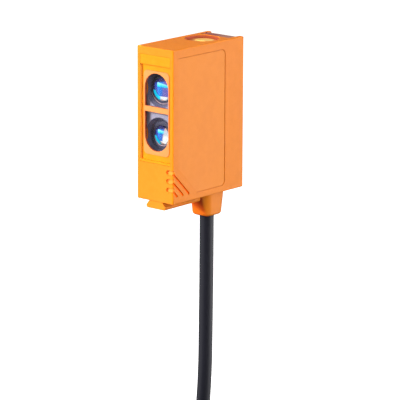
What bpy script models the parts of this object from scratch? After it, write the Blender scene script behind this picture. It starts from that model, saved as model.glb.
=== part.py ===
"""Compact photoelectric sensor with a dovetail mounting rail and a moulded-on cable.

Row frame, metres: the origin is the centre of the rail's bottom face, +Z is up along the
body's height, the optics look along -Y and the side cover faces +X. The cable hangs down.
"""
import math

import bmesh
import bpy
from mathutils import Matrix, Vector

MM = 0.001

# ---------------------------------------------------------------- driving dimensions, mm
BODY_W, BODY_D, BODY_H = 13.2, 29.8, 43.0
RAIL_H = 2.1
FRONT = -7.7
BACK = FRONT + BODY_D
BASE = RAIL_H
TOP = BASE + BODY_H
SIDE = BODY_W / 2
BODY_EDGE = 0.35
GAP, FIT = 0.12, 0.1

# dovetail rail under the body, half of its outline in (x, z) from the neck down
RAIL_LENGTH = 14.9
RAIL_HALF = ((2.35, BASE + 0.6), (2.35, BASE), (3.4, 0.85), (3.4, 0.45), (3.1, 0.0))

# housing walls and the hollow behind them
CAVITY_LEFT, CAVITY_RIGHT = -5.5, 4.6
CAVITY_FRONT, CAVITY_BACK = FRONT + 3.1, BACK - 1.2
CAVITY_FLOOR, CAVITY_ROOF, REAR_ROOF = BASE + 1.3, TOP - 1.3, TOP - 4.2
REAR_START = 6.0

# front cover, the pale bezel in it and its two D windows
COVER_W, COVER_LOW, COVER_HIGH = 10.9, BASE + 10.75, BASE + 40.8
RECESS_LOW, RECESS_HIGH, RECESS_DEPTH = BASE + 11.4, BASE + 38.1, 0.7
COVER_FRONT, COVER_BACK, COVER_GAP = FRONT + 0.03, FRONT + 1.9, 0.06
BEZEL_W, BEZEL_LOW, BEZEL_HIGH, BEZEL_CORNER = 9.3, BASE + 12.95, BASE + 36.4, 1.3
BEZEL_MIDDLE = (BEZEL_LOW + BEZEL_HIGH) / 2
BEZEL_FRONT, BEZEL_THICK, BEZEL_GAP = FRONT + 0.55, 0.7, 0.03
PANE_THICK, PANE_SET_BACK = 0.5, 0.1
WINDOW_R = 4.3
UPPER_WINDOW_FLAT, UPPER_WINDOW_ROUND = BASE + 26.4, BASE + 31.5
LOWER_WINDOW_FLAT, LOWER_WINDOW_ROUND = BASE + 24.9, BASE + 18.3

# optics
CARRIER_W, CARRIER_FRONT, CARRIER_BACK, CARRIER_GAP = 9.4, FRONT + 2.0, 5.2, 0.12
CARRIER_LOW, CARRIER_HIGH = BASE + 13.0, BASE + 37.0
RECEIVER_Z, EMITTER_Z = BASE + 31.0, BASE + 18.2
RECEIVER_R, EMITTER_R = 3.4, 2.9
FUNNEL_R, MOUTH_R, MOUTH_DEPTH = 5.1, 4.2, 1.0
SEAT_DEPTH, LAMP_BORE, LAMP_BORE_LENGTH = 3.6, 1.6, 2.0
RING_THICK, RING_LIP = 0.5, 0.25
LENS_THICK, LENS_SAG, LENS_STEP = 2.2, 0.6, 0.35
OPTICS_BOARD_Y, BOARD_THICK = CARRIER_BACK + 0.1, 0.9

# side cover, an outline with one corner cut at 45 degrees
PANEL_FRONT, PANEL_REAR = FRONT + 2.25, FRONT + 21.7
PANEL_LOW, PANEL_HIGH = BASE + 1.95, BASE + 40.4
PANEL_CUT, PANEL_CORNER, PANEL_THICK, PANEL_SUNK = 7.8, 1.3, 0.7, 0.08
PANEL_LEDGE, PANEL_GAP, PANEL_TOP_GAP, PANEL_REAR_GAP = 1.0, 0.05, 0.1, 0.16

# three decorative grooves that wrap round the lower front corner
GROOVE_TOPS = (BASE + 8.75, BASE + 6.3, BASE + 3.85)
GROOVE_END = BASE + 2.2
GROOVE_W, GROOVE_DEPTH = 0.62, 0.5
NOTCH_X, NOTCH_R, NOTCH_RISE = 4.65, 0.65, 0.15

# sensitivity adjuster in the round top pocket
POCKET_Y, POCKET_R, POCKET_FLOOR = 11.9, 4.9, TOP - 3.0
KNOB_R, KNOB_TOP, KNOB_BOTTOM, KNOB_EDGE = 4.6, TOP - 0.8, TOP - 2.85, 0.3
STEM_R, STEM_END, STEM_HOLE_R = 1.25, TOP - 7.1, 2.4
SLOT_W, SLOT_LENGTH, SLOT_DEPTH = 1.0, 6.2, 0.8

# clear window over the indicator lamps
LIGHT_W, LIGHT_FRONT, LIGHT_TOP, LIGHT_FLOOR = 10.4, 17.3, TOP - 0.1, TOP - 2.2
LIGHT_SLOPE, LIGHT_REAR = 20.5, TOP - 0.95
PIPE_W, PIPE_FRONT, PIPE_BACK, PIPE_LOW = 6.0, 17.9, 20.5, TOP - 5.2

# cable outlet and cable
GLAND_Y, GLAND_BOTTOM = 14.2, BASE - 7.4
GLAND_W, GLAND_D, GLAND_FLARE, GLAND_CORNER, GLAND_RIM = 6.6, 7.1, 1.15, 2.0, 0.7
CABLE_D = 4.0
CABLE_R = CABLE_D / 2
SPIGOT_R, SPIGOT_TOP = 3.3, BASE + 2.5
SEAL_R, SEAL_LOW = 2.65, GLAND_BOTTOM + 1.0
JACKET_TOP = SPIGOT_TOP + 2.6
LEAD_R, LEAD_SPREAD = 0.42, 2.2
TOUCH = 0.3

# the boards behind the optics: the main one stands on the left, the small one lies under the adjuster
MAIN_BOARD_X = CAVITY_LEFT + 0.25
MAIN_BOARD_FACE = MAIN_BOARD_X + 0.8
BOARD_BACK = CAVITY_BACK - 0.3
ADJUSTER_BOARD_LOW, ADJUSTER_BOARD_HIGH = BASE + 33.2, BASE + 34.0
POT_HALF, POT_BORE_DEPTH = 3.3, 3.1
STATUS_LAMP_X, STATUS_LAMP_Y, STATUS_LAMP_HALF = 1.6, 19.2, 0.8

# the tied coil that takes up the two metres of cable
COIL_Y, COIL_Z = -14.95, -92.0
COIL_INNER, COIL_OUTER, COIL_HALF_W, COIL_SOFT = 14.75, 31.25, 8.75, 1.6
TIE_W, TIE_THICK = 2.6, 1.0
RUN_ROUTE = (
    (0.0, 14.2, -5.6),
    (-0.05, 14.2, -20.0),
    (-0.2, 14.2, -36.0),
    (-0.5, 14.2, -52.0),
    (-1.6, 14.2, -66.0),
    (-3.2, 14.2, -74.0),
)
TAIL_ROUTE = (
    (-11.1, 1.95, -94.0),
    (-11.2, 2.1, -104.0),
    (-11.1, 2.6, -114.0),
    (-10.9, 3.4, -125.0),
)

# the three insulated cores: name, place in the jacket in (x, y) and colour
CORES = (
    ("brown", -1.0, 0.0, (0.13, 0.05, 0.02)),
    ("blue", 0.55, 0.85, (0.02, 0.08, 0.5)),
    ("black", 0.55, -0.85, (0.02, 0.02, 0.02)),
)
CORE_R, CORE_LENGTH = 0.55, 19.0


# ---------------------------------------------------------------- scene and small helpers
def clear_scene():
    for obj in list(bpy.data.objects):
        bpy.data.objects.remove(obj, do_unlink=True)


def collection(name):
    group = bpy.data.collections.new(name)
    bpy.context.scene.collection.children.link(group)
    return group


clear_scene()
PARTS = collection("photoelectric_sensor")
CUTTERS = collection("cutters")


def material(name, colour, roughness, metallic=0.0, alpha=1.0):
    """A plain Principled material in linear colour."""
    mat = bpy.data.materials.new(name)
    mat.use_nodes = True
    shader = mat.node_tree.nodes["Principled BSDF"]
    shader.inputs["Base Color"].default_value = (*colour, 1.0)
    shader.inputs["Roughness"].default_value = roughness
    shader.inputs["Metallic"].default_value = metallic
    shader.inputs["Alpha"].default_value = alpha
    mat.diffuse_color = (*colour, alpha)
    return mat


ORANGE = (0.90, 0.33, 0.06)
BOARD_GREEN = material("circuit_board", (0.02, 0.18, 0.07), 0.4)


def place(obj, mat=None, group=None):
    """Link a new object, with its material, to the parts or to another collection."""
    (group or PARTS).objects.link(obj)
    if mat:
        obj.data.materials.append(mat)
    return obj


def from_bmesh(name, bm, location, mat=None, group=None):
    mesh = bpy.data.meshes.new(name)
    bm.to_mesh(mesh)
    bm.free()
    obj = bpy.data.objects.new(name, mesh)
    obj.location = Vector(location) * MM
    return place(obj, mat, group)


def box(name, low, high, mat=None, group=None, bevel=0.0):
    """A box between two corners, with rounded edges where bevel is more than nothing."""
    size = [(b - a) * MM for a, b in zip(low, high)]
    centre = [(a + b) / 2 for a, b in zip(low, high)]
    bm = bmesh.new()
    bmesh.ops.create_cube(bm, size=1.0, matrix=Matrix.Diagonal((*size, 1.0)))
    obj = from_bmesh(name, bm, centre, mat, group)
    if bevel:
        round_edges(obj, bevel)
    return obj


def round_edges(obj, width, segments=2):
    mod = obj.modifiers.new("rounded edges", "BEVEL")
    mod.width = width * MM
    mod.segments = segments
    mod.limit_method = "ANGLE"
    mod.harden_normals = False


def cylinder(name, radius, low, high, location, mat=None, group=None, axis="Z", sides=32):
    """A round bar from low to high along its axis, measured from location."""
    turn = {"Z": Matrix(), "Y": Matrix.Rotation(-math.pi / 2, 4, "X"),
            "X": Matrix.Rotation(math.pi / 2, 4, "Y")}
    shift = Matrix.Translation((0.0, 0.0, (low + high) / 2 * MM))
    bm = bmesh.new()
    bmesh.ops.create_cone(bm, cap_ends=True, segments=sides, radius1=radius * MM, radius2=radius * MM,
                          depth=(high - low) * MM, matrix=turn[axis] @ shift)
    return from_bmesh(name, bm, location, mat, group)


def turned(name, profile, location, mat=None, group=None, turn=None, steps=32, closed=False):
    """A turned solid: (radius, height) points down the outer side, spun round local Z."""
    mesh = bpy.data.meshes.new(name)
    count = len(profile)
    edges = [(i, i + 1) for i in range(count - 1)]
    if closed:
        edges.append((count - 1, 0))
    mesh.from_pydata([(r * MM, 0.0, z * MM) for r, z in profile], edges, [])
    obj = bpy.data.objects.new(name, mesh)
    obj.location = Vector(location) * MM
    if turn:
        obj.rotation_euler = turn
    screw = obj.modifiers.new("turn", "SCREW")
    screw.steps = steps
    screw.render_steps = steps
    screw.use_merge_vertices = True
    screw.merge_threshold = 1e-6
    return place(obj, mat, group)


LOOK_FORWARD = (math.pi / 2, 0.0, 0.0)
LOOK_SIDEWAYS = (0.0, math.pi / 2, 0.0)


def to_mesh(curve):
    """Swap a curve object for the welded mesh of its evaluated shape."""
    graph = bpy.context.evaluated_depsgraph_get()
    mesh = bpy.data.meshes.new_from_object(curve.evaluated_get(graph))
    bm = bmesh.new()
    bm.from_mesh(mesh)
    bmesh.ops.remove_doubles(bm, verts=bm.verts, dist=1e-7)
    bmesh.ops.recalc_face_normals(bm, faces=bm.faces)
    bm.to_mesh(mesh)
    bm.free()
    name = curve.name
    group = curve.users_collection[0]
    curve.name = name + "_outline"
    obj = bpy.data.objects.new(name, mesh)
    obj.matrix_world = curve.matrix_world
    group.objects.link(obj)
    bpy.data.objects.remove(curve, do_unlink=True)
    return obj


def plate(name, outline, thickness, location, turn, mat=None, group=None):
    """A flat outline in the XY plane, thickened both ways, then turned and placed."""
    data = bpy.data.curves.new(name, "CURVE")
    data.dimensions = "2D"
    data.fill_mode = "BOTH"
    data.extrude = thickness / 2 * MM
    line = data.splines.new("POLY")
    line.points.add(len(outline) - 1)
    for point, (x, y) in zip(line.points, outline):
        point.co = (x * MM, y * MM, 0.0, 1.0)
    line.use_cyclic_u = True
    obj = place(bpy.data.objects.new(name, data), mat, group)
    obj.location = Vector(location) * MM
    obj.rotation_euler = turn
    bpy.context.view_layer.update()
    return to_mesh(obj)


FACE_FRONT = (math.pi / 2, 0.0, 0.0)
FACE_SIDE = (math.pi / 2, 0.0, math.pi / 2)


def arc(cx, cy, radius, start, end, steps):
    """Points along an arc, angles in degrees, both ends included."""
    angles = [math.radians(start + (end - start) * i / steps) for i in range(steps + 1)]
    return [(cx + radius * math.cos(a), cy + radius * math.sin(a)) for a in angles]


def rounded_rectangle(width, height, radius, steps=4):
    x, y = width / 2 - radius, height / 2 - radius
    return (arc(x, y, radius, 0, 90, steps) + arc(-x, y, radius, 90, 180, steps)
            + arc(-x, -y, radius, 180, 270, steps) + arc(x, -y, radius, 270, 360, steps))


def wire(name, route, radius, mat, resolution=2):
    """A round tube with closed ends along straight pieces between points."""
    data = bpy.data.curves.new(name, "CURVE")
    data.dimensions = "3D"
    data.bevel_depth = radius * MM
    data.bevel_resolution = resolution
    data.use_fill_caps = True
    line = data.splines.new("POLY")
    line.points.add(len(route) - 1)
    for point, co in zip(line.points, route):
        point.co = (*[c * MM for c in co], 1.0)
    return place(bpy.data.objects.new(name, data), mat)


def smooth(route, steps):
    """Points on the Catmull-Rom curve through the route's own points."""
    pts = [Vector(p) for p in route]
    pts = [2 * pts[0] - pts[1]] + pts + [2 * pts[-1] - pts[-2]]
    out = []
    for a, b, c, d in zip(pts, pts[1:], pts[2:], pts[3:]):
        for i in range(steps):
            t = i / steps
            out.append(0.5 * (2 * b + (c - a) * t + (2 * a - 5 * b + 4 * c - d) * t * t
                              + (3 * b - a - 3 * c + d) * t * t * t))
    return out + [pts[-2]]


def combine(obj, tool, operation):
    """Cut obj with tool, or join tool to it, and keep the tool out of renders."""
    mod = obj.modifiers.new(tool.name, "BOOLEAN")
    mod.operation = operation
    mod.solver = "EXACT"
    mod.object = tool
    tool.hide_render = True
    tool.display_type = "WIRE"


def cut(obj, *tools):
    for tool in tools:
        combine(obj, tool, "DIFFERENCE")


def join(obj, *tools):
    for tool in tools:
        combine(obj, tool, "UNION")


# ---------------------------------------------------------------- housing
def panel_outline(inset, top=0.0, rear=0.0):
    """The side cover's outline in (y, z), moved inwards by inset and by more at the top and rear."""
    front_y, rear_y = PANEL_FRONT + inset, PANEL_REAR - inset - rear
    low, high = PANEL_LOW + inset, PANEL_HIGH - inset - top
    corner = max(PANEL_CORNER - inset, 0.3)
    cut_size = PANEL_CUT - inset * (2 - math.sqrt(2))
    return (arc(rear_y - corner, high - corner, corner, 0, 90, 4)
            + [(front_y, high), (front_y, low + cut_size), (front_y + cut_size, low)]
            + arc(rear_y - corner, low + corner, corner, -90, 0, 4))


def housing():
    body = box("housing", (-SIDE, FRONT, BASE), (SIDE, BACK, TOP), material("housing", ORANGE, 0.45),
               bevel=BODY_EDGE)
    profile = [*RAIL_HALF, *((-x, z) for x, z in reversed(RAIL_HALF))]
    join(body, plate("rail", profile, RAIL_LENGTH, (0.0, 0.0, 0.0), FACE_FRONT, group=CUTTERS))
    cut(body, box("cavity", (CAVITY_LEFT, CAVITY_FRONT, CAVITY_FLOOR),
                  (CAVITY_RIGHT, CAVITY_BACK, REAR_ROOF), group=CUTTERS))
    cut(body, box("cavity_roof", (CAVITY_LEFT, CAVITY_FRONT, REAR_ROOF - 1.0),
                  (CAVITY_RIGHT, REAR_START, CAVITY_ROOF), group=CUTTERS))
    pocket_outline = panel_outline(-PANEL_GAP, PANEL_GAP - PANEL_TOP_GAP, PANEL_GAP - PANEL_REAR_GAP)
    pocket_depth = PANEL_SUNK + PANEL_THICK + GAP
    side_pocket = plate("side_pocket", pocket_outline, 2 * pocket_depth, (SIDE, 0.0, 0.0), FACE_SIDE,
                        group=CUTTERS)
    side_mouth = plate("side_mouth", panel_outline(PANEL_LEDGE), 5.0, (SIDE, 0.0, 0.0), FACE_SIDE,
                       group=CUTTERS)
    half_w = COVER_W / 2 + COVER_GAP
    front_pocket = box("front_pocket", (-half_w, FRONT - 1, COVER_LOW - COVER_GAP),
                       (half_w, COVER_BACK + GAP, COVER_HIGH + COVER_GAP), group=CUTTERS)
    half_w = CARRIER_W / 2 + CARRIER_GAP
    front_mouth = box("front_mouth", (-half_w, FRONT, CARRIER_LOW - CARRIER_GAP),
                      (half_w, 0.0, CARRIER_HIGH + CARRIER_GAP), group=CUTTERS)
    cut(body, side_pocket, side_mouth, front_pocket, front_mouth)
    cut(body, *groove_cutters())
    pocket = cylinder("pocket", POCKET_R, POCKET_FLOOR, TOP + 1, (0, POCKET_Y, 0), group=CUTTERS, sides=48)
    stem_hole = cylinder("stem_hole", STEM_HOLE_R, REAR_ROOF - 1, TOP, (0, POCKET_Y, 0), group=CUTTERS)
    light_seat = box("light_seat", (-LIGHT_W / 2 - FIT, LIGHT_FRONT - FIT, LIGHT_FLOOR - FIT),
                     (LIGHT_W / 2 + FIT, BACK + 1, TOP + 1), group=CUTTERS)
    light_slot = box("light_slot", (-PIPE_W / 2 - FIT, PIPE_FRONT - FIT, REAR_ROOF - 1),
                     (PIPE_W / 2 + FIT, PIPE_BACK + FIT, TOP), group=CUTTERS)
    gland_hole = cylinder("gland_hole", SPIGOT_R + FIT, BASE - 1, CAVITY_FLOOR + 1, (0, GLAND_Y, 0),
                          group=CUTTERS)
    cut(body, pocket, stem_hole, light_seat, light_slot, gland_hole)


def groove_cutters():
    """Each groove is a slot down the side face and a short notch on the front face."""
    radius = GROOVE_W / 2
    tools = []
    for number, top in enumerate(GROOVE_TOPS):
        length = (top - GROOVE_END) * math.sqrt(2)
        reach = arc(0, 0, radius, 90, 270, 4) + arc(length, 0, radius, -90, 90, 4)
        side = plate(f"side_slot_{number}", reach, 2 * GROOVE_DEPTH, (SIDE, FRONT, top),
                     (math.radians(90), math.radians(45), math.radians(90)), group=CUTTERS)
        reach = arc(NOTCH_X, 0, NOTCH_R, 90, 270, 6)
        reach += [(SIDE - 0.9, -NOTCH_R), (SIDE + 0.5, 0.0), (SIDE + 0.5, NOTCH_R)]
        front = plate(f"front_notch_{number}", reach, 2 * GROOVE_DEPTH, (0.0, FRONT, top + NOTCH_RISE),
                      FACE_FRONT, group=CUTTERS)
        tools += [side, front]
    return tools


def side_cover():
    plate("side_cover", panel_outline(0.0), PANEL_THICK, (SIDE - PANEL_SUNK - PANEL_THICK / 2, 0.0, 0.0),
          FACE_SIDE, material("side_cover", (0.90, 0.35, 0.08), 0.5))


# ---------------------------------------------------------------- front and optics
def d_window(flat, centre):
    """A D outline in (x, z): a straight edge at flat and a half circle round centre."""
    up = centre > flat
    if up:
        return [(WINDOW_R, flat)] + arc(0, centre, WINDOW_R, 0, 180, 16) + [(-WINDOW_R, flat)]
    return [(-WINDOW_R, flat)] + arc(0, centre, WINDOW_R, 180, 360, 16) + [(WINDOW_R, flat)]


def front_cover():
    half = COVER_W / 2
    cover = box("front_cover", (-half, COVER_FRONT, COVER_LOW), (half, COVER_BACK, COVER_HIGH),
                material("front_cover", (0.95, 0.43, 0.03), 0.4))
    recess = box("front_recess", (-SIDE, FRONT - 1, RECESS_LOW), (SIDE, FRONT + RECESS_DEPTH, RECESS_HIGH),
                 group=CUTTERS)
    hole = plate("bezel_hole", bezel_outline(BEZEL_GAP), 8.0, (0, FRONT, BEZEL_MIDDLE), FACE_FRONT,
                 group=CUTTERS)
    cut(cover, recess, hole)


def bezel_outline(outset=0.0):
    """The bezel's rounded rectangle in (x, z) round its middle, moved outwards by outset."""
    height = BEZEL_HIGH - BEZEL_LOW
    return rounded_rectangle(BEZEL_W + 2 * outset, height + 2 * outset, BEZEL_CORNER + outset)


def window_bezel():
    middle = BEZEL_FRONT + BEZEL_THICK / 2
    bezel = plate("window_bezel", bezel_outline(), BEZEL_THICK, (0, middle, BEZEL_MIDDLE), FACE_FRONT,
                  material("window_bezel", (0.93, 0.52, 0.17), 0.35))
    for name, flat, middle in (("upper_hole", UPPER_WINDOW_FLAT, UPPER_WINDOW_ROUND),
                               ("lower_hole", LOWER_WINDOW_FLAT, LOWER_WINDOW_ROUND)):
        cut(bezel, plate(name, d_window(flat, middle), 6.0, (0, FRONT, 0), FACE_FRONT, group=CUTTERS))


def front_window():
    middle = BEZEL_FRONT + BEZEL_THICK + PANE_SET_BACK + PANE_THICK / 2
    plate("front_window", bezel_outline(), PANE_THICK, (0, middle, BEZEL_MIDDLE), FACE_FRONT,
          material("front_window", (0.9, 0.92, 0.95), 0.05, alpha=0.2))


def optics_carrier():
    """The black frame behind the pane, with a stepped, tapering tube for each lens."""
    half = CARRIER_W / 2
    carrier = box("optics_carrier", (-half, CARRIER_FRONT, CARRIER_LOW), (half, CARRIER_BACK, CARRIER_HIGH),
                  material("optics_carrier", (0.06, 0.06, 0.08), 0.5))
    depth = CARRIER_BACK - CARRIER_FRONT
    for name, z, radius in (("receiver_tube", RECEIVER_Z, RECEIVER_R),
                            ("emitter_tube", EMITTER_Z, EMITTER_R)):
        seat = radius + FIT
        ring_floor = -MOUTH_DEPTH - RING_THICK - FIT / 2
        profile = [(0, 1), (FUNNEL_R, 1), (FUNNEL_R, 0), (MOUTH_R, -MOUTH_DEPTH), (MOUTH_R, ring_floor),
                   (seat, ring_floor), (seat, -SEAT_DEPTH), (radius - 0.5, -SEAT_DEPTH),
                   (LAMP_BORE, LAMP_BORE_LENGTH - depth), (LAMP_BORE, -depth - 1), (0, -depth - 1)]
        cut(carrier, turned(name, profile, (0, CARRIER_FRONT, z), group=CUTTERS, turn=LOOK_FORWARD))


def lens_set(name, z, radius):
    """A glass lens, domed in front and flat behind, and the ring that bears on its flange."""
    face = radius - LENS_STEP
    curve_r = (face * face + LENS_SAG * LENS_SAG) / (2 * LENS_SAG)
    reach = math.degrees(math.asin(face / curve_r))
    dome = [(r, h - curve_r + LENS_SAG) for r, h in arc(0, 0, curve_r, 90, 90 - reach, 6)]
    dome[0] = (0.0, LENS_SAG)
    flange = -RING_THICK - FIT
    profile = dome + [(face, flange), (radius, flange), (radius, -LENS_THICK), (0, -LENS_THICK)]
    turned(f"{name}_lens", profile, (0, CARRIER_FRONT + MOUTH_DEPTH, z),
           material(f"{name}_lens", (0.05, 0.25, 0.8), 0.05, alpha=0.5), turn=LOOK_FORWARD)
    inner, outer = radius - 0.25, MOUTH_R - 0.08
    ring = [(inner + RING_LIP, 0), (outer, 0), (outer, -RING_THICK), (inner, -RING_THICK),
            (inner, -RING_LIP)]
    turned(f"{name}_lens_ring", ring, (0, CARRIER_FRONT + MOUTH_DEPTH, z),
           material(f"{name}_lens_ring", (0.04, 0.04, 0.05), 0.3), turn=LOOK_FORWARD, closed=True)


def light_parts():
    """The emitter lamp and the receiver chip on their own board, with what is soldered behind it."""
    y = OPTICS_BOARD_Y
    back = y + BOARD_THICK
    box("optics_board", (-4.5, y, BASE + 12.0), (4.5, back, BASE + 38.2), BOARD_GREEN)
    lamp = [(0, 1.2), (0.6, 1.05), (1.05, 0.7), (1.3, 0.1), (1.3, -0.9), (0, -0.9)]
    turned("emitter_lamp", lamp, (0, y - 1.0, EMITTER_Z),
           material("emitter_lamp", (0.6, 0.02, 0.02), 0.1, alpha=0.6), turn=LOOK_FORWARD, steps=24)
    cylinder("receiver_diode", 1.35, -1.7, -0.1, (0, y, RECEIVER_Z),
             material("receiver_diode", (0.02, 0.02, 0.025), 0.2), axis="Y", sides=24)
    can = box("receiver_shield", (-3.6, back + FIT, BASE + 26.0), (3.9, back + 2.0, BASE + 36.0),
              material("receiver_shield", (0.75, 0.75, 0.72), 0.3, metallic=1.0))
    cut(can, box("shield_hollow", (-3.4, back - 1, BASE + 26.2), (3.7, back + 1.8, BASE + 35.8),
                 group=CUTTERS))
    box("board_connector", (-4.2, back + FIT, BASE + 15.0), (-1.8, back + 2.4, BASE + 23.0),
        material("board_connector", (0.03, 0.03, 0.03), 0.5))


# ---------------------------------------------------------------- electronics
def main_board_parts():
    """The tall board along the left wall, with its chips and its filter capacitor."""
    black = material("moulded_chip", (0.02, 0.02, 0.022), 0.45)
    face = MAIN_BOARD_FACE
    seat = face + 0.05
    box("main_board", (MAIN_BOARD_X, 9.2, BASE + 4.0), (face, BOARD_BACK, BASE + 32.5), BOARD_GREEN)
    box("processor_chip", (seat, 10.4, BASE + 22.0), (face + 0.95, 15.4, BASE + 27.0), black)
    box("output_driver", (seat, 11.0, BASE + 14.0), (face + 1.6, 14.6, BASE + 19.0), black)
    box("supply_regulator", (seat, 16.2, BASE + 20.5), (face + 1.25, 19.8, BASE + 23.5), black)
    cylinder("filter_capacitor", 1.9, 0.05, 4.6, (face, 17.6, BASE + 14.5),
             material("filter_capacitor", (0.55, 0.5, 0.42), 0.3, metallic=0.8), axis="X", sides=24)


def adjuster_board_parts():
    """The small board under the roof, with the potentiometer and the two status lamps."""
    seat = ADJUSTER_BOARD_HIGH + FIT
    box("adjuster_board", (-4.2, 8.45, ADJUSTER_BOARD_LOW), (4.2, BOARD_BACK, ADJUSTER_BOARD_HIGH),
        BOARD_GREEN)
    pot = box("potentiometer", (-POT_HALF, POCKET_Y - POT_HALF, seat),
              (POT_HALF, POCKET_Y + POT_HALF, REAR_ROOF - 0.15),
              material("potentiometer", (0.08, 0.18, 0.45), 0.4))
    cut(pot, cylinder("pot_bore", STEM_R + 0.06, REAR_ROOF - POT_BORE_DEPTH, TOP, (0, POCKET_Y, 0),
                      group=CUTTERS, sides=24))
    half = STATUS_LAMP_HALF
    for name, x, colour in (("power_lamp", -STATUS_LAMP_X, (0.05, 0.6, 0.1)),
                            ("output_lamp", STATUS_LAMP_X, (0.9, 0.5, 0.02))):
        box(name, (x - half, STATUS_LAMP_Y - half, seat), (x + half, STATUS_LAMP_Y + half, seat + 1.5),
            material(name, colour, 0.2))


# ---------------------------------------------------------------- top
def sensitivity_adjuster():
    """The knob and its stem, turned about the joint's axis, with a screwdriver slot across it."""
    profile = [(0, KNOB_TOP), (KNOB_R - KNOB_EDGE, KNOB_TOP), (KNOB_R, KNOB_TOP - KNOB_EDGE),
               (KNOB_R, KNOB_BOTTOM), (STEM_R, KNOB_BOTTOM), (STEM_R, STEM_END), (0, STEM_END)]
    knob = turned("sensitivity_adjuster", [(r, z - TOP) for r, z in profile], (0, POCKET_Y, TOP),
                  material("sensitivity_adjuster", (0.97, 0.5, 0.08), 0.35), steps=40)
    cut(knob, box("screwdriver_slot", (-SLOT_LENGTH / 2, POCKET_Y - SLOT_W / 2, KNOB_TOP - SLOT_DEPTH),
                  (SLOT_LENGTH / 2, POCKET_Y + SLOT_W / 2, TOP + 1), group=CUTTERS))


def adjuster_seal():
    """A rubber ring round the stem, in its hole through the roof."""
    middle, thick = (STEM_R + STEM_HOLE_R) / 2, (STEM_HOLE_R - STEM_R) / 2 - 0.08
    turned("adjuster_seal", arc(middle, 0, thick, 90, -225, 7),
           (0, POCKET_Y, (REAR_ROOF + POCKET_FLOOR) / 2),
           material("adjuster_seal", (0.02, 0.02, 0.02), 0.7), closed=True)


def indicator_window():
    """A clear block in the top rear edge, sloped at the rear, with a light pipe to the status lamps."""
    outline = [(LIGHT_FRONT, LIGHT_FLOOR), (BACK, LIGHT_FLOOR), (BACK, LIGHT_REAR), (LIGHT_SLOPE, LIGHT_TOP),
               (LIGHT_FRONT, LIGHT_TOP)]
    window = plate("indicator_window", outline, LIGHT_W, (0.0, 0.0, 0.0), FACE_SIDE,
                   material("indicator_window", (0.95, 0.8, 0.7), 0.08, alpha=0.35))
    join(window, box("light_pipe", (-PIPE_W / 2, PIPE_FRONT, PIPE_LOW),
                     (PIPE_W / 2, PIPE_BACK, LIGHT_FLOOR + 0.5), group=CUTTERS))


# ---------------------------------------------------------------- cable outlet
def cable_gland():
    """A tapered, rounded boss with a spigot that plugs into the housing's floor."""
    height = (BASE - 0.1 - GLAND_BOTTOM) * MM
    bm = bmesh.new()
    bmesh.ops.create_cube(bm, size=1.0, matrix=Matrix.Diagonal((GLAND_W * MM, GLAND_D * MM, height, 1.0)))
    for vert in bm.verts:
        if vert.co.z > 0:
            vert.co.x *= GLAND_FLARE
            vert.co.y *= GLAND_FLARE
    upright = [e for e in bm.edges if abs(e.verts[0].co.z - e.verts[1].co.z) > height / 2]
    bmesh.ops.bevel(bm, geom=upright, offset=GLAND_CORNER * MM, offset_type="OFFSET", segments=5,
                    profile=0.5, affect="EDGES")
    rim = [e for e in bm.edges if all(v.co.z < -0.49 * height for v in e.verts)]
    bmesh.ops.bevel(bm, geom=rim, offset=GLAND_RIM * MM, offset_type="OFFSET", segments=3, profile=0.5,
                    affect="EDGES")
    gland = from_bmesh("cable_gland", bm, (0, GLAND_Y, GLAND_BOTTOM + height / MM / 2),
                       material("cable_gland", ORANGE, 0.45))
    join(gland, cylinder("spigot", SPIGOT_R, BASE - 1, SPIGOT_TOP, (0, GLAND_Y, 0), group=CUTTERS))
    seat_r, cable_r = SEAL_R + 0.08, CABLE_R + GAP
    bore = [(0, SPIGOT_TOP + 1), (seat_r, SPIGOT_TOP + 1), (seat_r, SEAL_LOW), (cable_r, SEAL_LOW),
            (cable_r, GLAND_BOTTOM - 1), (0, GLAND_BOTTOM - 1)]
    cut(gland, turned("gland_bore", bore, (0, GLAND_Y, 0), group=CUTTERS, steps=24))


def cable_entry():
    """The grommet, the end of the cable jacket, its crimp and the leads to the board."""
    inner = CABLE_R + 0.08
    foot = SEAL_LOW + 0.08
    sleeve = [(inner, SPIGOT_TOP), (SEAL_R, SPIGOT_TOP), (SEAL_R, foot), (inner, foot)]
    turned("cable_seal", sleeve, (0, GLAND_Y, 0), material("cable_seal", (0.03, 0.03, 0.03), 0.7),
           steps=24, closed=True)
    cylinder("jacket_end", CABLE_R, GLAND_BOTTOM, JACKET_TOP, (0, GLAND_Y, 0),
             material("jacket_end", (0.02, 0.02, 0.025), 0.5), sides=24)
    low, high, outer = SPIGOT_TOP + 0.2, JACKET_TOP - 0.5, inner + 0.5
    turned("cable_crimp", [(inner, high), (outer, high), (outer, low), (inner, low)], (0, GLAND_Y, 0),
           material("cable_crimp", (0.7, 0.55, 0.25), 0.3, metallic=1.0), steps=24, closed=True)
    for name, x, y, colour in CORES:
        start, foot = GLAND_Y + y, GLAND_Y + LEAD_SPREAD * y
        pad, pad_z = MAIN_BOARD_FACE + 0.08, JACKET_TOP + 4.4
        route = ((x, start, JACKET_TOP + 0.1), (x, start, JACKET_TOP + 1.5),
                 (x * 0.7 - 0.6, (start + foot) / 2, JACKET_TOP + 3.2), (-2.2, foot, JACKET_TOP + 4.1),
                 (pad + 0.42, foot, pad_z), (pad, foot, pad_z))
        wire(f"lead_{name}", smooth(route, 2), LEAD_R, material(f"lead_{name}", colour, 0.4))


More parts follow.
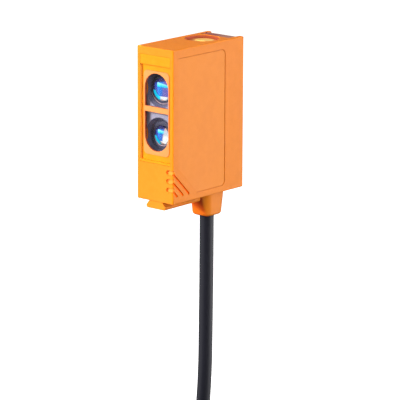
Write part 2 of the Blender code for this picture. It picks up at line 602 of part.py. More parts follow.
# ---------------------------------------------------------------- cable outside the sensor
def coil_tie(name, side, mat):
    """A flat band round the coil's turns, above or below its middle."""
    width, height = 2 * COIL_HALF_W + 2 * TOUCH, COIL_OUTER - COIL_INNER + 2 * TOUCH
    centre = (0, COIL_Y, COIL_Z + side * (COIL_INNER + COIL_OUTER) / 2)
    outline = rounded_rectangle(width + 2 * TIE_THICK, height + 2 * TIE_THICK, 1.6)
    band = plate(name, outline, TIE_W, centre, FACE_FRONT, mat)
    cut(band, plate(f"{name}_inside", rounded_rectangle(width, height, 0.8), 2 * TIE_W, centre, FACE_FRONT,
                    group=CUTTERS))


def cable():
    """The hanging run, the solid that the coil fills, its two ties, the tail and its stripped cores."""
    black = material("cable_jacket", (0.02, 0.02, 0.025), 0.5)
    wire("cable_run", smooth(RUN_ROUTE, 2), CABLE_R, black)
    edge = COIL_HALF_W - COIL_SOFT
    inner, outer = COIL_INNER + COIL_SOFT, COIL_OUTER - COIL_SOFT
    ring = [(COIL_INNER, edge), (inner, COIL_HALF_W), (outer, COIL_HALF_W), (COIL_OUTER, edge),
            (COIL_OUTER, -edge), (outer, -COIL_HALF_W), (inner, -COIL_HALF_W), (COIL_INNER, -edge)]
    turned("cable_coil", ring, (0, COIL_Y, COIL_Z), black, turn=LOOK_SIDEWAYS, steps=48, closed=True)
    nylon = material("cable_tie", (0.05, 0.05, 0.05), 0.4)
    coil_tie("upper_tie", 1, nylon)
    coil_tie("lower_tie", -1, nylon)
    wire("cable_tail", smooth(TAIL_ROUTE, 3), CABLE_R, black)
    end = Vector(TAIL_ROUTE[-1])
    for name, x, y, colour in CORES:
        start = end + Vector((x, y, -TOUCH))
        route = (start, start + Vector((0.6 * x, 0.6 * y, -6)), start + Vector((1.6 * x, 1.8 * y, -12)),
                 start + Vector((2.2 * x, 2.6 * y, -CORE_LENGTH)))
        wire(f"core_{name}", smooth(route, 3), CORE_R, material(f"core_{name}", colour, 0.4))


housing()
side_cover()
front_cover()
window_bezel()
front_window()
optics_carrier()
lens_set("receiver", RECEIVER_Z, RECEIVER_R)
lens_set("emitter", EMITTER_Z, EMITTER_R)
light_parts()
main_board_parts()
adjuster_board_parts()
sensitivity_adjuster()
adjuster_seal()
indicator_window()
cable_gland()
cable_entry()
cable()
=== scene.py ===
"""Looks of a compact photoelectric sensor with a dovetail rail and a fixed two-metre cable."""
import math

import bmesh
import bpy
from mathutils import Matrix, Vector


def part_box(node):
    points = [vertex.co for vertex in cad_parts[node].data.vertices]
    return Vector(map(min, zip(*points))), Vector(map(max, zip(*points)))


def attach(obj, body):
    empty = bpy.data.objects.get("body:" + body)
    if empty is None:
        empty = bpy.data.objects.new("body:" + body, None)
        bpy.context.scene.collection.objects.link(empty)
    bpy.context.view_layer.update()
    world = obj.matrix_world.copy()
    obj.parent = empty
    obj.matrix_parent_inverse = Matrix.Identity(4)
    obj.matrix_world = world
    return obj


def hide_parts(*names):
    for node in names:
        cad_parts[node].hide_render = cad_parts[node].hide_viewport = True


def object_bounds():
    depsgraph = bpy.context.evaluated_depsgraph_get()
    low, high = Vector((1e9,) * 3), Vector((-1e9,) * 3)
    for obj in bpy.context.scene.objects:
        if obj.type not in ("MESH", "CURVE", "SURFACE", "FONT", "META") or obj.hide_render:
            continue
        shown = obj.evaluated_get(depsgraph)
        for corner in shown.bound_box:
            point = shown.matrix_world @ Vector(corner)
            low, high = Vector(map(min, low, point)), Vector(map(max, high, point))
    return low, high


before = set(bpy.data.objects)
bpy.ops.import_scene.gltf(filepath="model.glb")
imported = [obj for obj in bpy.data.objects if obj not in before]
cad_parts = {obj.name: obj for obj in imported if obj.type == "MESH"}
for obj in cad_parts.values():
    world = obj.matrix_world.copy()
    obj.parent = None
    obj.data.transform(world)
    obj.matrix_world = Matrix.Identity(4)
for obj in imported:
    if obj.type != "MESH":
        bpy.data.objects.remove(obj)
cad_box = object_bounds()

# ---------------------------------------------------------------- studio
# A white sweep, with soft boxes for the front, for the side cover and for the top. Two large white
# cards only glint on the faces. The camera stands to the right of the optics, a little above them.
MM = 0.001
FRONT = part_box("housing")[0].y
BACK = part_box("housing")[1].y
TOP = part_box("housing")[1].z
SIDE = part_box("housing")[1].x
BODY_HEIGHT = 43.0 * MM
BASE = TOP - BODY_HEIGHT
MIDDLE = Vector((0.0, (FRONT + BACK) / 2, (BASE + TOP) / 2))

scene = bpy.context.scene
scene.view_settings.view_transform = "Standard"

camera = bpy.data.objects.new("camera", bpy.data.cameras.new("camera"))
camera.data.lens = 251.2
camera.data.sensor_width = 36.0
camera.data.clip_end = 50.0
camera.location = MIDDLE + Vector((0.4961, -0.5721, 0.1610))
AZIMUTH, ELEVATION, ROLL = math.radians(40.73), math.radians(13.71), math.radians(0.21)
turn, tilt = Matrix.Rotation(AZIMUTH, 4, "Z"), Matrix.Rotation(math.pi / 2 - ELEVATION, 4, "X")
camera.rotation_euler = (turn @ tilt @ Matrix.Rotation(ROLL, 4, "Z")).to_euler()
scene.collection.objects.link(camera)
scene.camera = camera


def soft_box(name, direction, distance, size, power, colour=(1.0, 1.0, 1.0), gloss=False):
    """A rectangular area lamp that looks at the body's middle, and lights it or only glints on it."""
    lamp = bpy.data.lights.new(name, "AREA")
    lamp.shape = "RECTANGLE"
    lamp.size, lamp.size_y = size
    lamp.energy = power
    lamp.color = colour
    obj = bpy.data.objects.new(name, lamp)
    toward = Vector(direction).normalized()
    obj.location = MIDDLE + toward * distance
    obj.rotation_euler = toward.to_track_quat("Z", "Y").to_euler()
    obj.visible_diffuse = not gloss
    obj.visible_glossy = gloss
    scene.collection.objects.link(obj)


soft_box("key light", (-0.56, -0.80, 0.36), 0.9, (0.45, 0.3), 15.0)
soft_box("side light", (1.0, -0.25, 0.22), 1.0, (0.5, 0.7), 7.8)
soft_box("top light", (-0.1, 0.1, 1.0), 1.0, (0.7, 0.7), 0.4, (1.0, 0.86, 0.78))
soft_box("front card", (-0.66, -0.74, -0.12), 0.8, (1.3, 1.1), 5.0, gloss=True)
soft_box("rear card", (0.70, 0.68, 0.10), 0.8, (1.1, 1.0), 13.0, gloss=True)


class Value:
    """A node's output that takes part in ordinary arithmetic."""

    def __init__(self, finish, socket):
        self.finish = finish
        self.socket = socket

    def sum(self, operation, first, second):
        return self.finish.node("ShaderNodeMath", {"operation": operation}, {0: first, 1: second})

    def __add__(self, other):
        return self.sum("ADD", self, other)

    __radd__ = __add__

    def __sub__(self, other):
        return self.sum("SUBTRACT", self, other)

    def __rsub__(self, other):
        return self.sum("SUBTRACT", other, self)

    def __mul__(self, other):
        return self.sum("MULTIPLY", self, other)

    __rmul__ = __mul__

    def __truediv__(self, other):
        return self.sum("DIVIDE", self, other)

    def __pow__(self, other):
        return self.sum("POWER", self, other)


class Finish:
    """A material or world being made: one shader with fixed values and the nodes that feed it."""

    def __init__(self, name, library=bpy.data.materials, shader="Principled BSDF", **fixed):
        self.material = library.new(name)
        self.material.use_nodes = True
        self.tree = self.material.node_tree
        self.shader = self.tree.nodes[shader]
        self.feed(**fixed)

    def plug(self, socket, value):
        if isinstance(value, Value):
            self.tree.links.new(value.socket, socket)
        elif isinstance(value, tuple) and len(value) == 3 and socket.type == "RGBA":
            socket.default_value = (*value, 1.0)
        else:
            socket.default_value = value

    def feed(self, **inputs):
        for name, value in inputs.items():
            self.plug(self.shader.inputs[name.replace("_", " ")], value)

    def node(self, kind, settings=None, inputs=None, output=0):
        """A new node: its settings first, then the values or links of its sockets."""
        made = self.tree.nodes.new(kind)
        for key, value in (settings or {}).items():
            setattr(made, key, value)
        for key, value in (inputs or {}).items():
            self.plug(made.inputs[key], value)
        return Value(self, made.outputs[output])

    def place(self):
        return self.node("ShaderNodeTexCoord", output="Object")

    def axis(self, letter):
        """One coordinate in millimetres."""
        parts = self.node("ShaderNodeSeparateXYZ", None, {0: self.place()}, output=letter.upper())
        return parts * 1000.0

    def noise(self, scale, detail=3.0, roughness=0.5, stretch=(1.0, 1.0, 1.0)):
        where = self.node("ShaderNodeMapping", None, {"Vector": self.place(), "Scale": Vector(stretch)})
        return self.node("ShaderNodeTexNoise", {"noise_dimensions": "3D"},
                         {"Vector": where, "Scale": scale, "Detail": detail, "Roughness": roughness})

    def mix(self, amount, first, second):
        return self.node("ShaderNodeMix", {"data_type": "RGBA", "blend_type": "MIX"},
                         {0: amount, 6: first, 7: second}, output=2)

    def bump(self, height, distance, strength):
        return self.node("ShaderNodeBump", None,
                         {"Height": height, "Distance": distance, "Strength": strength})


def spread(value, low, high):
    """Value taken from low..high to 0..1, smoothly and held inside it."""
    return value.finish.node("ShaderNodeMapRange", {"interpolation_type": "SMOOTHSTEP"},
                             {0: value, 1: low, 2: high, 3: 0.0, 4: 1.0})


# The air is pale above and dim below, so that the undersides fall into shade.
air = Finish("studio air", bpy.data.worlds, "Background", Color=(1.0, 0.98, 0.97))
height = air.node("ShaderNodeSeparateXYZ", None, {0: air.node("ShaderNodeTexCoord")}, output="Z")
air.feed(Strength=0.07 + spread(height, -0.35, 0.25) * 0.19)
scene.world = air.material

FLOOR_DROP = 40 * MM
floor_finish = Finish("studio_floor", Roughness=0.9, Emission_Strength=0.85,
                      Emission_Color=(1.0, 1.0, 1.0))
floor_finish.feed(Base_Color=floor_finish.mix(floor_finish.noise(3.0), (0.9, 0.9, 0.9), (0.94, 0.94, 0.94)))
bm = bmesh.new()
bmesh.ops.create_grid(bm, x_segments=2, y_segments=2, size=12.0,
                      matrix=Matrix.Translation((0.0, 0.0, cad_box[0][2] - FLOOR_DROP)))
mesh = bpy.data.meshes.new("studio_floor")
bm.to_mesh(mesh)
bm.free()
studio_floor = bpy.data.objects.new("studio_floor", mesh)
mesh.materials.append(floor_finish.material)
scene.collection.objects.link(studio_floor)
studio_floor.visible_diffuse = False
studio_floor.visible_glossy = False
studio_floor.visible_transmission = False


# ---------------------------------------------------------------- housing
# One injection moulding in orange plastic with its dovetail rail, in the mould's fine spark-eroded
# grain. Painted shade makes the colour deeper in the grooves and darkest in the top pocket, and
# painted edge shade makes it vivid along the right side's front and top edges. Painted highlights
# pale the notch floors and the left wall of the front recess.
ORANGE, ORANGE_DEEP = (0.92, 0.262, 0.016), (0.87, 0.238, 0.011)


def orange(name, colour, deep, roughness=0.45, grain=1.0):
    """Orange moulded plastic: faint flow mottling, spark-eroded grain and a satin skin."""
    made = Finish(name, Specular_IOR_Level=0.3)
    flow = made.noise(90.0, 4.0, 0.6, (1.0, 1.0, 0.6))
    cloud = made.noise(520.0, 3.0, 0.55)
    tone = spread(flow * 0.55 + cloud * 0.45, 0.38, 0.62)
    spark = made.noise(4200.0, 3.0, 0.7)
    pits = spread(spark, 0.62, 0.35)
    made.skin = made.mix(pits * 0.35, made.mix(tone, deep, colour), deep)
    made.feed(Base_Color=made.skin,
              Roughness=roughness + (flow - 0.5) * 0.16 + pits * 0.08,
              Normal=made.bump(spark, 0.014 * MM * grain, 0.55))
    return made


def merged_copy(node):
    """A bmesh of a CAD node with its loose triangles joined and its flat faces made whole."""
    bm = bmesh.new()
    bm.from_mesh(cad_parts[node].data)
    bmesh.ops.remove_doubles(bm, verts=bm.verts, dist=1e-6)
    bmesh.ops.dissolve_limit(bm, angle_limit=math.radians(1.0), verts=bm.verts, edges=bm.edges)
    return bm


def show(name, bm, material, slot, *replaced, body="sensor_body", edge=0.0, segments=2, limit=35):
    """A finished piece from a bmesh: smooth faces, softened edges, and its place in the frame."""
    for face in bm.faces:
        face.smooth = True
    mesh = bpy.data.meshes.new(name)
    bm.to_mesh(mesh)
    bm.free()
    mesh.materials.append(material)
    obj = bpy.data.objects.new(name, mesh)
    scene.collection.objects.link(obj)
    if edge:
        soft = obj.modifiers.new("softened edges", "BEVEL")
        soft.width = edge * MM
        soft.segments = segments
        soft.limit_method = "ANGLE"
        soft.angle_limit = math.radians(limit)
    else:
        mesh.set_sharp_from_angle(angle=math.radians(limit))
    flat = obj.modifiers.new("flat faces", "WEIGHTED_NORMAL")
    flat.weight = 80
    flat.keep_sharp = True
    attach(obj, body)
    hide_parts(*replaced)


def middle(node):
    """The centre of a CAD node's box."""
    low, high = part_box(node)
    return Vector(((low.x + high.x) / 2, (low.y + high.y) / 2, (low.z + high.z) / 2))


# where the housing's features lie, in millimetres
SIDE_X, FRONT_Y, ROOF_Z, FOOT_Z = SIDE / MM, FRONT / MM, TOP / MM, BASE / MM
GROOVES_INNER, GROOVES_REACH, GROOVES_HIGH, GROOVE_SKIN = 3.3, 8.2, 9.8, 0.12
RECESS_SIDE, RECESS_DEPTH, POCKET_EDGE = -5.5, 0.8, 5.05


def housing_skin():
    """The housing's orange: painted shade on edges, grooves and pocket; painted light on notches and recess
    wall.
    """
    made = orange("housing_orange", ORANGE, ORANGE_DEEP)
    x, y, z = (made.axis(letter) for letter in "xyz")
    # Painted edge shade: the right side's front and top edges are painted a deeper, more saturated orange.
    front_edge = spread(y, FRONT_Y + 0.5, FRONT_Y + 0.3)
    roof_edge = spread(z, ROOF_Z - 0.5, ROOF_Z - 0.3)
    edges = spread(x, SIDE_X - 0.5, SIDE_X - 0.3) * (1 - (1 - front_edge) * (1 - roof_edge))
    skin = made.mix(edges, made.skin, (0.93, 0.25, 0.0))

    # Painted shade in the side grooves, and a painted highlight on the notch floors at the front.
    groove_shade = (spread(x, SIDE_X - GROOVE_SKIN, SIDE_X - 3 * GROOVE_SKIN)
              * spread(x, GROOVES_INNER, GROOVES_INNER + 0.3)
              * spread(y, FRONT_Y + GROOVE_SKIN, FRONT_Y + 3 * GROOVE_SKIN)
              * spread(y, FRONT_Y + GROOVES_REACH, FRONT_Y + GROOVES_REACH - 0.3)
              * spread(z, FOOT_Z + GROOVES_HIGH, FOOT_Z + GROOVES_HIGH - 0.3))
    notch_highlight = (spread(y, FRONT_Y + 0.4, FRONT_Y + 0.46) * spread(y, FRONT_Y + 0.65, FRONT_Y + 0.6)
                   * spread(x, SIDE_X - 0.5, SIDE_X - 0.7))
    skin = made.mix(groove_shade, skin, made.mix(notch_highlight, (1.0, 0.19, 0.004), (0.92, 0.32, 0.04)))

    # Painted highlight on the left wall of the front recess.
    recess_wall_highlight = (spread(x, RECESS_SIDE - 0.5, RECESS_SIDE - 0.2)
                   * spread(x, RECESS_SIDE + 0.3, RECESS_SIDE + 0.1)
                   * spread(y, FRONT_Y + 0.02, FRONT_Y + 0.12)
                   * spread(y, FRONT_Y + RECESS_DEPTH + 0.2, FRONT_Y + RECESS_DEPTH))
    skin = made.mix(recess_wall_highlight, skin, (0.98, 0.46, 0.06))

    # Painted shade in the top pocket, darker towards its rear right.
    beside = y - middle("sensitivity_adjuster").y / MM
    pocket_shade = (spread((x * x + beside * beside) ** 0.5, POCKET_EDGE + 0.2, POCKET_EDGE)
              * spread(z, ROOF_Z - 0.03, ROOF_Z - 0.15))
    pocket_wall_shade = made.mix(spread(x + beside * 0.86, -4.0, 3.0), (0.60, 0.13, 0.06), (0.36, 0.07, 0.03))
    made.feed(Base_Color=made.mix(pocket_shade, skin, pocket_wall_shade))
    return made.material


show("housing_shell", merged_copy("housing"), housing_skin(), "housing", "housing", edge=0.1)

# ---------------------------------------------------------------- side cover
# A thin orange plate with one cut corner, set flush into the right side. It is a shade paler and
# a little shinier than the housing.
side_finish = orange("side_orange", (0.92, 0.275, 0.02), (0.88, 0.252, 0.015), roughness=0.42)
show("side_panel", merged_copy("side_cover"), side_finish.material, "side_cover", "side_cover", edge=0.05)

# ---------------------------------------------------------------- front cover
# The plate round the optics, moulded in a yellower orange than the housing and set into its front.
# Behind the bezel its opening carries painted shade, near black.
front_finish = orange("front_orange", (0.95, 0.30, 0.008), (0.9, 0.27, 0.005))
BEZEL_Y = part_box("window_bezel")[0].y / MM
# Painted shade: the cover's faces behind the bezel are painted near black.
shade_behind_bezel = spread(front_finish.axis("y"), BEZEL_Y + 0.55, BEZEL_Y + 0.7)
front_finish.feed(Base_Color=front_finish.mix(shade_behind_bezel, front_finish.skin, (0.10, 0.05, 0.05)))
show("front_frame", merged_copy("front_cover"), front_finish.material, "front_cover", "front_cover",
     edge=0.03)

# ---------------------------------------------------------------- bezel
# A pale orange plastic frame with the two D windows, set into the front cover. Painted shade
# makes its colour deeper on the inner edges of the windows.
bezel_finish = orange("bezel_orange", (0.95, 0.31, 0.095), (0.9, 0.285, 0.08), grain=0.4)
# Painted shade on the window reveals: the bezel's inner walls are painted a deep red-brown.
inside = spread(bezel_finish.axis("y"), BEZEL_Y + 0.1, BEZEL_Y + 0.25)
bezel_finish.feed(Base_Color=bezel_finish.mix(inside, bezel_finish.skin, (0.55, 0.085, 0.03)))
show("window_frame", merged_copy("window_bezel"), bezel_finish.material, "window_bezel", "window_bezel",
     edge=0.05)


# ---------------------------------------------------------------- pane
# A thin clear polished pane behind the bezel that keeps dust off both lenses. It is the CAD's own
# shape, and almost invisible.
def plain(name, colour, roughness, vary=0.15, scale=900.0, grain=0.0, **fixed):
    """An even finish with a little variation in tone and sheen, and grain where it is given."""
    made = Finish(name, **fixed)
    tone = made.noise(scale, 4.0, 0.6)
    pale = tuple(min(1.0, c * (1 + vary)) for c in colour)
    dark = tuple(c * (1 - vary) for c in colour)
    made.feed(Base_Color=made.mix(tone, dark, pale), Roughness=roughness + (tone - 0.5) * 0.1)
    if grain:
        made.feed(Normal=made.bump(made.noise(scale * 4, 2.0), grain * MM, 0.5))
    return made.material


def dress(material, *nodes):
    """Give CAD nodes whose shape is right their material."""
    for node in nodes:
        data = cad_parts[node].data
        data.materials.clear()
        data.materials.append(material)


dress(plain("clear_pane", (0.02, 0.02, 0.03), 0.06, Alpha=0.08), "front_window")

# ---------------------------------------------------------------- optics carrier
# The black frame that holds both lenses: a satin front plate and, in it, two funnels that step
# down to the lens rings. Painted shade makes the funnels darker than the plate, and darkest where they are
# deep.
PLATE_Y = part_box("optics_carrier")[0].y / MM
carrier = Finish("carrier_black", Specular_IOR_Level=0.35)
depth = carrier.axis("y") - PLATE_Y
streak = carrier.noise(700.0, 4.0, 0.6, (1.0, 1.0, 0.25))
plate_colour = carrier.mix(streak, (0.32, 0.30, 0.42), (0.50, 0.47, 0.60))
# Painted shade: the funnels and tubes are painted darker than the plate, darkest at depth.
funnel_shade = carrier.mix(streak, (0.14, 0.135, 0.22), (0.18, 0.175, 0.28))
tube_shade = carrier.mix(streak, (0.09, 0.087, 0.14), (0.12, 0.115, 0.18))
tube_shade = carrier.mix(spread(depth, 0.8, 1.0), funnel_shade, tube_shade)
carrier.feed(Base_Color=carrier.mix(spread(depth, 0.02, 0.1), plate_colour, tube_shade),
             Roughness=0.42 + (streak - 0.5) * 0.3,
             Normal=carrier.bump(streak, 0.02 * MM, 0.5))
show("optics_frame", merged_copy("optics_carrier"), carrier.material, "optics_carrier", "optics_carrier",
     edge=0.05)


# ---------------------------------------------------------------- lens rings
# Black moulded rings that bear on the lenses' flanges. Each is turned here with a stepped face, and
# has a lip with a painted highlight on its lower side.
TURNED_STEPS, RING_BITE = 72, 0.25


def spun(profile, centre):
    """A closed turned body: (radius, depth) points in millimetres, spun round the optics' axis."""
    bm = bmesh.new()
    verts = [bm.verts.new(centre + Vector((radius, depth, 0.0)) * MM) for radius, depth in profile]
    edges = [bm.edges.new(pair) for pair in zip(verts, verts[1:] + verts[:1])]
    bmesh.ops.spin(bm, geom=verts + edges, cent=centre, axis=(0.0, 1.0, 0.0), angle=2 * math.pi,
                   steps=TURNED_STEPS, use_merge=True)
    bmesh.ops.remove_doubles(bm, verts=bm.verts, dist=1e-6)
    bmesh.ops.recalc_face_normals(bm, faces=bm.faces)
    return bm


def ring_finish(name, centre, lip):
    """Black plastic whose lip, at a radius in millimetres, has a painted highlight on its lower side."""
    made = Finish(name, Specular_IOR_Level=0.4)
    x = made.axis("x")
    z = made.axis("z") - centre.z / MM
    radius = (x * x + z * z) ** 0.5
    tone = made.noise(900.0, 4.0, 0.6)
    # Painted highlight on the lower side of the lip.
    lip_highlight = (spread(radius, lip - 0.16, lip - 0.06) * spread(radius, lip + 0.12, lip + 0.04)
                * spread(z - x * 0.25, 0.2, -0.9))
    made.feed(Base_Color=made.mix(lip_highlight, made.mix(tone, (0.07, 0.068, 0.11), (0.09, 0.087, 0.14)),
                                  (0.68, 0.48, 0.53)),
              Roughness=0.34 + tone * 0.1)
    return made.material


for name in ("receiver", "emitter"):
    low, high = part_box(f"{name}_lens_ring")
    lens_low, lens_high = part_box(f"{name}_lens")
    outer, back = (high.x - low.x) / MM / 2, (high.y - low.y) / MM / 2
    front, bore = -back, (lens_high.x - lens_low.x) / MM / 2 - RING_BITE
    profile = [(outer, front + 0.06), (outer - 0.06, front), (outer - 0.2, front),
               (outer - 0.26, front + 0.12), (bore + 0.42, front + 0.12), (bore + 0.36, front),
               (bore + 0.26, front), (bore + 0.2, front + 0.14), (bore + 0.08, front + 0.16),
               (bore, front + 0.3), (bore, back), (outer, back)]
    lip = outer - 0.12 if name == "receiver" else bore + 0.34
    centre = middle(f"{name}_lens_ring")
    show(f"{name}_ring", spun(profile, centre), ring_finish(f"{name}_ring_black", centre, lip),
         f"{name}_lens_ring", f"{name}_lens_ring", limit=30)

# ---------------------------------------------------------------- lenses
# Domed glass lenses with a blue anti-reflection coat, whose reflections are painted into the colour:
# painted cyan reflections above and along the lower left rim, violet on the right, a painted white
# highlight at the bottom, painted shade along the left and top rims, and a pale painted reflection on
# the right of the emitter's lens. The lenses also glow with painted light, most of it on the left.
LENS_STEP, LENS_RINGS, LENS_DOME, LENS_FLANGE = 0.35, 10, 0.4, 1.2
INDIGO, ROYAL, BLUE, VIOLET = (0.025, 0.02, 0.12), (0.05, 0.11, 0.55), (0.02, 0.19, 0.72), (0.17, 0.14, 0.50)
CYAN, LIGHT_CYAN, TEAL = (0.0, 0.66, 1.0), (0.25, 0.85, 1.0), (0.0, 0.68, 1.0)
WHITE, PALE_WHITE, GREY, PEACH = (0.88, 0.92, 0.96), (0.92, 0.94, 0.95), (0.55, 0.6, 0.7), (0.70, 0.46, 0.40)


def painted_lens_finish(name, centre, face, pale):
    """The lens's painted reflections, highlight, rim shade and glow; x and z run to one at the rim of the
    lens face.
    """
    made = Finish(name, Metallic=1.0, Coat_Weight=0.5, Coat_Roughness=0.03, Emission_Strength=0.95)
    ripple = (made.noise(500.0, 2.0) - 0.5) * 0.1
    x = made.axis("x") / face + ripple
    z = (made.axis("z") - centre.z / MM) / face + ripple
    # Painted reflections: a cyan band above, a cyan crescent along the lower left rim, violet on the right,
    # a white highlight at the bottom.
    cyan_band_reflection = spread(z, 0.2, 0.3) * spread(z + x * 0.14, 0.64, 0.54) * spread(x, -0.52, -0.42)
    cyan_crescent_reflection = (spread(x * x + z * z, 0.34, 0.46) * spread(z + x * 0.1, -0.14, -0.26)
                * spread(x, 0.0, -0.2))
    white_highlight = spread(z, -0.55, -0.65) * spread(x, -0.3, 0.0) * spread(x, 0.85, 0.6)
    violet_reflection = spread(x - z * 0.1, 0.05, 0.35)
    # Painted shade: a dark indigo rim along the left and top.
    edge = 1 - (1 - spread(x, -0.74, -0.84)) * (1 - spread(z - x * 0.2, 0.68, 0.76))
    colour = made.mix(spread(x, -0.5, -0.35), ROYAL, BLUE)
    colour = made.mix(violet_reflection, colour, VIOLET)
    colour = made.mix(edge, colour, INDIGO)
    colour = made.mix(cyan_band_reflection, colour, made.mix(spread(z, 0.28, 0.55), CYAN, LIGHT_CYAN))
    colour = made.mix(white_highlight, colour, WHITE)
    colour = made.mix(cyan_crescent_reflection, colour, TEAL)
    # A pale painted reflection on the right of the emitter's lens.
    emitter_pale_reflection = made.mix(spread(z, 0.5, 0.7), made.mix(spread(z, -0.2, 0.3), PALE_WHITE, GREY), PEACH)
    colour = made.mix(spread(x - z * 0.2, 0.22, 0.4) * pale, colour, emitter_pale_reflection)
    # Painted glow: the lens gives off light of its own, strongest on the left.
    dim_glow = made.mix(0.75, colour, (0.0, 0.0, 0.0))
    made.feed(Base_Color=colour, Roughness=0.16 + ripple * 0.5,
              Emission_Color=made.mix(spread(x, 0.1, -0.5), dim_glow, colour))
    return made.material


for name, pale in (("receiver", 0.0), ("emitter", 1.0)):
    low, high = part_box(f"{name}_lens")
    radius, back = (high.x - low.x) / MM / 2, (high.y - low.y) / MM / 2
    front, face = -back, radius - LENS_STEP
    curve = (face * face + LENS_DOME * LENS_DOME) / (2 * LENS_DOME)
    angles = [math.asin(face / curve) * i / LENS_RINGS for i in range(LENS_RINGS + 1)]
    dome = [(curve * math.sin(a), front + curve * (1 - math.cos(a))) for a in angles]
    flange = front + LENS_FLANGE
    profile = dome + [(face, flange), (radius, flange), (radius, back), (0.0, back)]
    centre = middle(f"{name}_lens")
    show(f"{name}_glass", spun(profile, centre), painted_lens_finish(f"{name}_painted_reflections", centre, face, pale),
         f"{name}_lens", f"{name}_lens", limit=40)

# ---------------------------------------------------------------- lamps and boards
# What the housing hides: three small green boards, the emitter and the receiver behind their
# lenses, and the parts that are soldered to the boards.
board = Finish("board_green", Roughness=0.38)
trace = board.node("ShaderNodeTexBrick", {"offset": 0.5},
                   {"Vector": board.place(), "Scale": 900.0, "Mortar Size": 0.035, "Color1": (0.0, 0.0, 0.0),
                    "Color2": (0.0, 0.0, 0.0), "Mortar": (1.0, 1.0, 1.0)})
board.feed(Base_Color=board.mix(trace, board.mix(board.noise(300.0), (0.01, 0.12, 0.04), (0.02, 0.17, 0.06)),
                                (0.05, 0.30, 0.10)),
           Normal=board.bump(trace, 0.03 * MM, 0.6))
dress(board.material, "optics_board", "main_board", "adjuster_board")
dress(plain("moulded_epoxy", (0.02, 0.02, 0.022), 0.5, grain=0.01), "processor_chip", "output_driver",
      "supply_regulator", "board_connector")
dress(plain("dark_receiver", (0.015, 0.01, 0.02), 0.12, Coat_Weight=0.5), "receiver_diode")
dress(plain("red_lamp", (0.6, 0.02, 0.02), 0.1, Coat_Weight=0.6), "emitter_lamp")
dress(plain("green_lamp", (0.05, 0.6, 0.1), 0.2, Coat_Weight=0.6), "power_lamp")
dress(plain("yellow_lamp", (0.9, 0.5, 0.02), 0.2, Coat_Weight=0.6), "output_lamp")
dress(plain("trimmer_blue", (0.05, 0.13, 0.38), 0.4, grain=0.008), "potentiometer")
dress(plain("tinned_steel", (0.62, 0.61, 0.57), 0.32, Metallic=1.0), "receiver_shield")
dress(plain("capacitor_can", (0.5, 0.47, 0.4), 0.28, Metallic=1.0), "filter_capacitor")

# ---------------------------------------------------------------- sensitivity adjuster
# A round plastic knob that turns on its stem in the top pocket, with a painted highlight across its
# middle and painted shade in deep orange at both sides. A screwdriver slot crosses it, and a black
# rubber ring seals the stem.
knob_finish = orange("knob_orange", (0.98, 0.66, 0.20), (0.96, 0.58, 0.15), grain=0.3, roughness=0.35)
# Painted light and shade: bright across the middle, deep orange at both sides.
along = knob_finish.axis("x") * 0.76 + (knob_finish.axis("y") - middle("sensitivity_adjuster").y / MM) * 0.65
knob_highlight = spread(along, -3.2, -1.2) * spread(along, 4.0, 2.4)
knob_finish.feed(Base_Color=knob_finish.mix(knob_highlight, (0.82, 0.22, 0.05), knob_finish.skin))
show("adjuster_knob", merged_copy("sensitivity_adjuster"), knob_finish.material, "sensitivity_adjuster",
     "sensitivity_adjuster", body="adjuster", edge=0.1)
rubber = plain("black_rubber", (0.02, 0.02, 0.02), 0.75, grain=0.01)
dress(rubber, "adjuster_seal", "cable_seal")

# ---------------------------------------------------------------- indicator window
# A clear, faintly smoky block at the rear of the top, over the two lamps. It is coloured as it looks
# there: painted mauve shade over the dark inside, and a painted highlight along its rear edge.
smoky = Finish("smoky_plastic", Specular_IOR_Level=0.2, Alpha=0.95)
haze = (smoky.noise(300.0) - 0.5) * 0.8
# Painted shade in mauve across the block, and a painted highlight along its rear edge.
across = spread(smoky.axis("x") + haze, -2.0, 2.0)
rear = spread(smoky.axis("y") + haze, 19.2, 20.3)
smoky.feed(Base_Color=smoky.mix(rear, smoky.mix(across, (0.42, 0.075, 0.07), (0.48, 0.2, 0.17)),
                                (0.76, 0.40, 0.25)),
           Roughness=0.3 + haze * 0.1)
show("lamp_window", merged_copy("indicator_window"), smoky.material, "indicator_window", "indicator_window",
     edge=0.1)

# ---------------------------------------------------------------- cable gland
# The moulded orange boss under the body, with the grommet, the jacket's end, its crimp and the
# three leads that run on to the main board. The boss carries a painted shadow of the body on its
# left, deeper in colour, and is duller there.
gland_finish = orange("gland_orange", ORANGE, ORANGE_DEEP)
x, z = (gland_finish.axis(letter) for letter in "xz")
# Painted shadow of the body on the boss's left, darkest near the top.
body_shadow = spread(x + (z - BASE / MM) * 0.25, 1.6, 0.4)
body_shadow_colour = gland_finish.mix(spread(z + x * 0.3, BASE / MM - 6.0, BASE / MM - 4.5), (0.84, 0.16, 0.008),
                         (0.58, 0.07, 0.003))
gland_finish.feed(Base_Color=gland_finish.mix(body_shadow, gland_finish.skin, body_shadow_colour),
                  Roughness=0.45 + body_shadow * 0.4)
show("gland_boss", merged_copy("cable_gland"), gland_finish.material, "cable_gland", "cable_gland",
     edge=0.15, segments=3)
dress(plain("brass_band", (0.7, 0.52, 0.22), 0.3, Metallic=1.0), "cable_crimp")
jacket = plain("cable_jacket", (0.012, 0.012, 0.018), 0.5, grain=0.01, scale=700.0, Specular_IOR_Level=0.3)
dress(jacket, "jacket_end")
INSULATION = {"brown": (0.12, 0.045, 0.018), "blue": (0.02, 0.08, 0.45), "black": (0.018, 0.018, 0.018)}
insulation = {name: plain(f"{name}_insulation", colour, 0.4) for name, colour in INSULATION.items()}
for name, material in insulation.items():
    dress(material, f"lead_{name}", f"core_{name}")

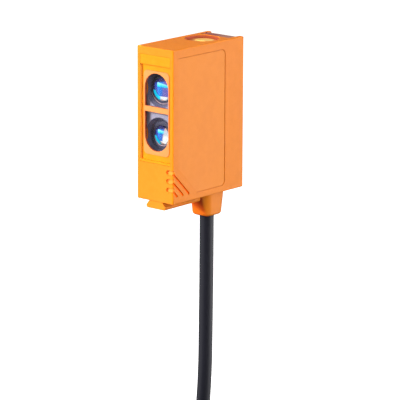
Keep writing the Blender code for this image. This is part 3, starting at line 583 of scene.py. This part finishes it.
# ---------------------------------------------------------------- cable
# Two metres of 4 mm black cable: it hangs straight, then is wound into a tied coil of
# thirteen turns in four layers, and ends in a short tail with its three insulated cores out.
CABLE_D = 4.0
RUN_ROUTE = (
    (0.0, 14.2, -5.6),
    (-0.05, 14.2, -20.0),
    (-0.2, 14.2, -36.0),
    (-0.5, 14.2, -52.0),
    (-1.6, 14.2, -66.0),
    (-3.2, 14.2, -74.0),
)
TAIL_ROUTE = (
    (-11.1, 1.95, -94.0),
    (-11.2, 2.1, -104.0),
    (-11.1, 2.6, -114.0),
    (-10.9, 3.4, -125.0),
)
COIL_Y, COIL_Z, LAYERS, TURNS, PITCH, OUTER_TURN = -14.95, -92.0, 4, 3.25, 4.1, 29.15
STEPS_A_TURN, LAYER_STEP, LEAVING, LEAVING_DRIFT = 40, 0.32, 0.45, 4.4


def ease(t):
    """0 to 1 with a level start and end."""
    t = min(max(t, 0.0), 1.0)
    return t * t * (3 - 2 * t)


def coil_points():
    """The cable's centreline round the coil, layer by layer towards the middle."""
    points = []
    total = int(LAYERS * TURNS * STEPS_A_TURN)
    for i in range(total + 1):
        turn = i / STEPS_A_TURN
        layer = min(int(turn / TURNS), LAYERS - 1)
        inside = turn - layer * TURNS
        across = (inside / TURNS - 0.5) * TURNS * PITCH * (1 if layer % 2 == 0 else -1)
        across -= LEAVING_DRIFT * ease((turn - LAYERS * TURNS) / LEAVING + 1)
        step = ease((inside - TURNS) / LAYER_STEP + 1) if layer < LAYERS - 1 else 0.0
        radius = OUTER_TURN - PITCH * (layer + step)
        angle = -2 * math.pi * turn
        points.append((across, COIL_Y + radius * math.cos(angle), COIL_Z + radius * math.sin(angle)))
    return points


def smooth(route, steps):
    """Points on the Catmull-Rom curve through the route's own points."""
    pts = [Vector(p) for p in route]
    pts = [2 * pts[0] - pts[1]] + pts + [2 * pts[-1] - pts[-2]]
    out = []
    for a, b, c, d in zip(pts, pts[1:], pts[2:], pts[3:]):
        for i in range(steps):
            t = i / steps
            out.append(0.5 * (2 * b + (c - a) * t + (2 * a - 5 * b + 4 * c - d) * t * t
                              + (3 * b - a - 3 * c + d) * t * t * t))
    return out + [pts[-2]]


def tube(name, points, radius, material, resolution):
    """A round tube along points in millimetres, with closed ends."""
    data = bpy.data.curves.new(name, "CURVE")
    data.dimensions = "3D"
    data.bevel_depth = radius * MM
    data.bevel_resolution = resolution
    data.use_fill_caps = True
    line = data.splines.new("POLY")
    line.points.add(len(points) - 1)
    for point, co in zip(line.points, points):
        point.co = (*(Vector(co) * MM), 1.0)
    obj = bpy.data.objects.new(name, data)
    data.materials.append(material)
    scene.collection.objects.link(obj)
    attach(obj, "sensor_body")
    return obj


coil = coil_points()
lead_in = smooth(RUN_ROUTE + ((-5.2, 14.2, -82.0), coil[0], coil[2]), 6)[:-6]
lead_out = smooth((coil[-3], coil[-1]) + TAIL_ROUTE, 6)[6:]
cable = tube("cable", [*lead_in, *coil[1:-1], *lead_out], CABLE_D / 2, jacket, resolution=6)
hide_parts("cable_run", "cable_coil", "cable_tail")
dress(plain("nylon_black", (0.03, 0.03, 0.03), 0.4, grain=0.01), "upper_tie", "lower_tie")
